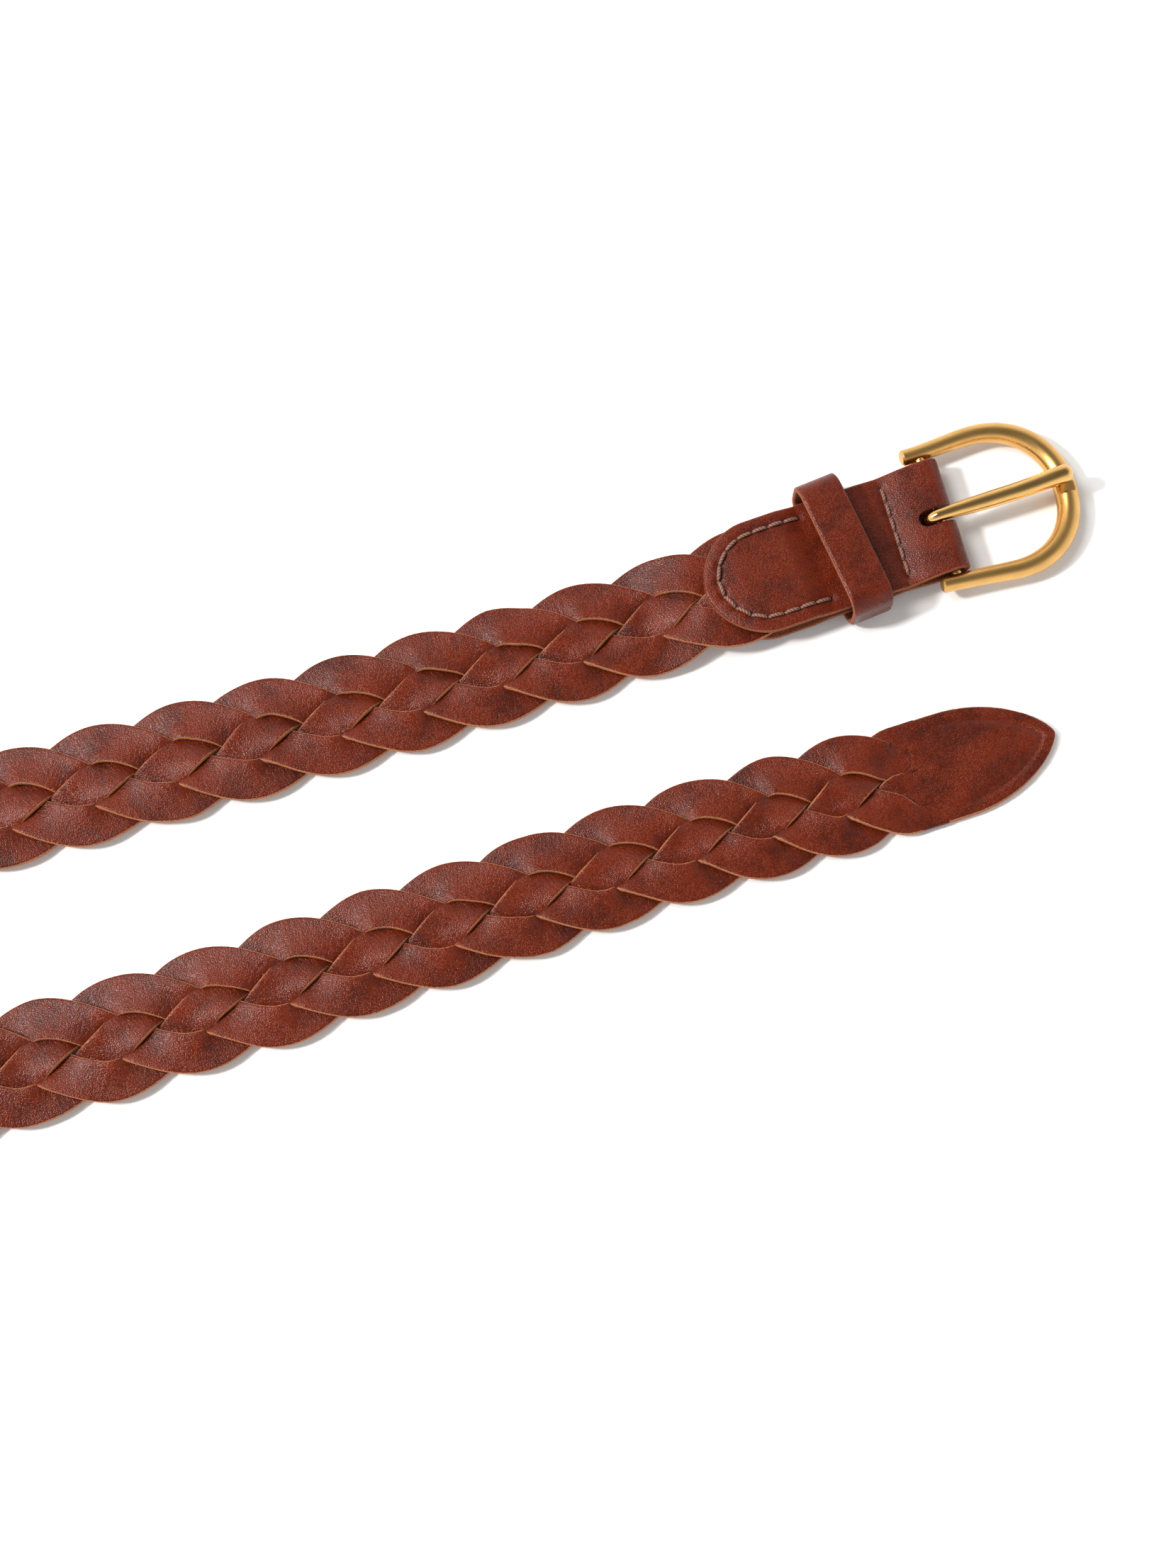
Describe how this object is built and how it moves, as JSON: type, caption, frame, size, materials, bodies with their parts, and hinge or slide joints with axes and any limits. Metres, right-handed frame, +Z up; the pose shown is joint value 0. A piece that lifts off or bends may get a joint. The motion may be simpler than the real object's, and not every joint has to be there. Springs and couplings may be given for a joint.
{
  "type": "leather belt",
  "caption": "Braided leather belt lying in a loop: a flat plaited strap with a solid pointed tip, a stitched folded tab, a sliding keeper and a horseshoe buckle with a hinged tongue.",
  "frame": {"origin": "middle of the whole belt's outline, on the surface it lies on", "axes": "+Z up, +X along the two straight runs towards the buckle and the tip, +Y from the tip's run to the buckle's run"},
  "size_m": [0.5488, 0.1203, 0.0324],
  "materials": {
    "braid_leather": "waxed tan leather with a fine grain",
    "chape_leather": "waxed tan leather with a fine grain",
    "thread": "waxed thread",
    "satin_brass": "satin",
    "polished_brass": "polished"
  },
  "bodies": {
    "strap": {"braid_strand_1": "braid_leather", "braid_strand_2": "braid_leather", "braid_strand_3": "braid_leather", "braid_strand_4": "braid_leather", "strap_tip": "braid_leather", "strap_root": "braid_leather", "chape": "chape_leather", "stitching_u": "thread", "stitching_bar": "thread"},
    "keeper": {"keeper": "chape_leather"},
    "buckle": {"buckle_frame": "satin_brass", "cross_bar": "satin_brass"},
    "tongue": {"tongue": "polished_brass"}
  },
  "joints": [
    {"name": "buckle_swing", "type": "hinge", "parent": "strap", "child": "buckle", "pos_m": [0.2329, 0.034, 0.0061], "axis": [-0.0523, -0.9986, 0], "range_deg": [0, 45]},
    {"name": "tongue_lift", "type": "hinge", "parent": "buckle", "child": "tongue", "pos_m": [0.2329, 0.034, 0.0061], "axis": [0.0523, 0.9986, 0], "range_deg": [-65, 0]},
    {"name": "keeper_slide", "type": "slide", "parent": "strap", "child": "keeper", "axis": [0.9994, 0.034, 0], "range_m": [-0.016, 0.015]}
  ]
}
